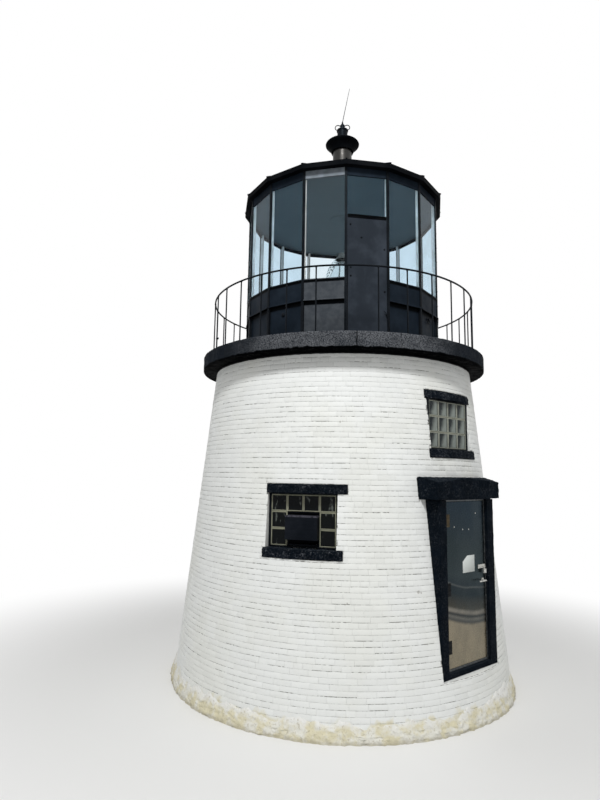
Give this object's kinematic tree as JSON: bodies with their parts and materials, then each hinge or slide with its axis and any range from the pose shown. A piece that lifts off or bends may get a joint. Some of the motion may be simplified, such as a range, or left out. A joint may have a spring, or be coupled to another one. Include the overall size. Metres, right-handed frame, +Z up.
{
  "type": "lighthouse",
  "caption": "Short round lighthouse of white painted brick with black trim, a railed gallery, a many-sided glazed lantern and a hinged entrance door.",
  "frame": {"origin": "centre of the tower's foot, on the ground", "axes": "+Z up along the tower's axis; the entrance door faces -Y; +X is to the right seen from outside the door"},
  "size_m": [4.9338, 4.9338, 9.3781],
  "materials": {
    "painted_brick": "thick weathered white paint over brick",
    "skirt_mortar": "rough lime mortar with lichen",
    "floor_concrete": "trowelled concrete",
    "black_cement": "stippled cement painted black",
    "block_mortar": "grey joint mortar",
    "black_paint": "weathered black gloss paint",
    "white_paint": "aged white paint",
    "ceiling_paint": "pale matt paint",
    "grey_paint": "satin grey paint",
    "threshold_steel": "dull worn steel",
    "brass_fitting": "dull brass",
    "block_glass": "pressed glass, faintly green",
    "pane_glass": "clear polished glass",
    "lens_glass": "polished stepped glass"
  },
  "bodies": {
    "tower": {"wall_base": "painted_brick", "footing_skirt": "skirt_mortar", "tower_floor": "floor_concrete", "wall_left_of_door": "painted_brick", "wall_right_of_door": "painted_brick", "wall_over_door": "painted_brick", "wall_window_bay": "painted_brick", "wall_back_1": "painted_brick", "wall_back_2": "painted_brick", "wall_back_3": "painted_brick", "wall_back_4": "painted_brick", "portal_jambs": "black_cement", "portal_lintel": "black_cement", "portal_sill": "black_cement", "window_lintels": "black_cement", "window_sills": "black_cement", "gallery_slab": "black_cement", "door_frame": "threshold_steel", "door_hinge_pins": "threshold_steel", "window_frames": "black_paint", "window_blocks": "block_glass", "window_mortar": "block_mortar", "vent_louvre": "black_paint", "vent_hood": "black_paint", "handrail": "black_paint", "balusters": "black_paint", "lantern_posts": "white_paint", "post_covers": "black_paint", "parapet_panels": "black_paint", "lantern_glass": "pane_glass", "lantern_header": "black_paint", "gallery_door": "black_paint", "lantern_ceiling": "ceiling_paint", "roof_edge": "black_paint", "roof": "black_paint", "vent_stack": "black_paint", "vent_cowl": "black_paint", "vent_finial": "black_paint", "lens_pedestal": "grey_paint", "optic_lens": "lens_glass", "lens_cap": "brass_fitting"},
    "entrance_door": {"door_leaf": "black_paint", "door_handle": "threshold_steel", "door_lock": "black_paint", "door_hinge_leaves": "threshold_steel"}
  },
  "joints": [
    {"name": "entrance_door_hinge", "type": "hinge", "parent": "tower", "child": "entrance_door", "pos_m": [-0.409, -2.22393, 1.5], "axis": [0, 0, -1], "range_deg": [0, 100]}
  ]
}
